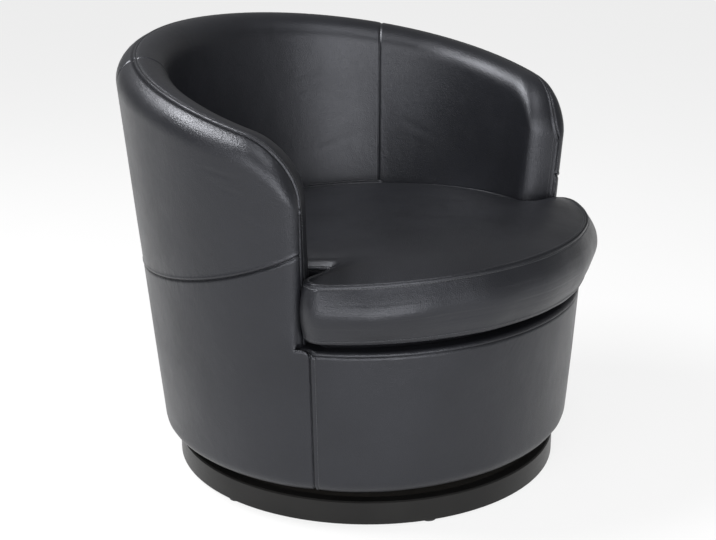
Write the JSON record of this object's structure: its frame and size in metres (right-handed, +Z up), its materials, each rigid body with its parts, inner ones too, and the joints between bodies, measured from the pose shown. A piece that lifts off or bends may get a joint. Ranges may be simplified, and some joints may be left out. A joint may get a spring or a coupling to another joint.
{
  "type": "swivel armchair",
  "caption": "Barrel-backed upholstered swivel armchair with a loose crowned seat cushion, rolled arms that fall from the back, and a round plinth.",
  "frame": {"origin": "on the floor, at the middle of the chair's overall length and width; the swivel's upright axis is 18 mm in front of it", "axes": "+Z up; the sitter faces -Y; +X is the sitter's left"},
  "size_m": [0.768, 0.7646, 0.696],
  "materials": {
    "plinth_paint": "satin black lacquer",
    "plywood": "sanded birch plywood",
    "hardwood": "planed beech",
    "hardboard": "smooth hardboard",
    "nylon": "matte moulded nylon",
    "plated_steel": "zinc plated",
    "black_steel": "black electrocoat",
    "wadding": "soft wadding",
    "foam": "open foam",
    "webbing": "woven webbing",
    "black_cloth": "plain woven cloth",
    "black_leather": "fine grained, soft sheen",
    "zip_tape": "black tape with a nylon coil",
    "zip_metal": "plated"
  },
  "bodies": {
    "plinth_base": {"plinth_ring": "plinth_paint", "plinth_board": "plywood", "floor_glides": "nylon", "glide_nails": "plated_steel", "swivel_lower_plate": "black_steel", "lower_plate_screws": "plated_steel", "pivot_rivet": "plated_steel"},
    "bearing_cage": {"ball_cage": "nylon", "bearing_balls": "plated_steel"},
    "seat_cushion": {"cushion_top": "black_leather", "cushion_front_boxing": "black_leather", "cushion_rear_boxing": "black_leather", "cushion_underside": "black_leather", "cushion_core": "foam", "zip": "zip_tape"},
    "zip_pull": {"zip_slider": "zip_metal"},
    "tub": {"base_board": "plywood", "seat_ring": "plywood", "back_posts": "hardwood", "arm_posts": "hardwood", "front_posts": "hardwood", "glue_blocks": "hardwood", "top_rail": "hardwood", "front_rail": "hardwood", "wall_liner": "hardboard", "front_liner": "hardboard", "inside_liner": "hardboard", "upper_plate_bolts": "plated_steel", "tee_nuts": "plated_steel", "swivel_upper_plate": "black_steel", "wall_padding": "wadding", "front_padding": "wadding", "deck_pad": "wadding", "inside_foam": "foam", "crest_foam": "foam", "nose_pads": "foam", "straps_front_to_back": "webbing", "straps_side_to_side": "webbing", "deck_cloth": "black_cloth", "dust_cover": "black_cloth", "outer_back_upper": "black_leather", "outer_back_lower": "black_leather", "inner_back": "black_leather", "outer_right_upper": "black_leather", "outer_right_lower": "black_leather", "inner_right": "black_leather", "outer_left_upper": "black_leather", "outer_left_lower": "black_leather", "inner_left": "black_leather", "front_panel": "black_leather", "deck_strip": "black_leather"}
  },
  "joints": [
    {"name": "swivel", "type": "hinge", "parent": "plinth_base", "child": "tub", "pos_m": [0, -0.0182, 0.05275], "axis": [0, 0, 1], "continuous": true},
    {"name": "cage_turn", "type": "hinge", "parent": "plinth_base", "child": "bearing_cage", "pos_m": [0, -0.0182, 0.05275], "axis": [0, 0, 1], "continuous": true},
    {"name": "cushion_lift", "type": "slide", "parent": "tub", "child": "seat_cushion", "axis": [0, 0, 1], "range_m": [0, 0.42]},
    {"name": "zip_pull", "type": "hinge", "parent": "seat_cushion", "child": "zip_pull", "pos_m": [0, -0.0182, 0.3595], "axis": [0, 0, 1], "range_deg": [0, 116]}
  ],
  "couplings": [
    {"joint": "cage_turn", "follows": "swivel", "ratio": 0.5}
  ]
}
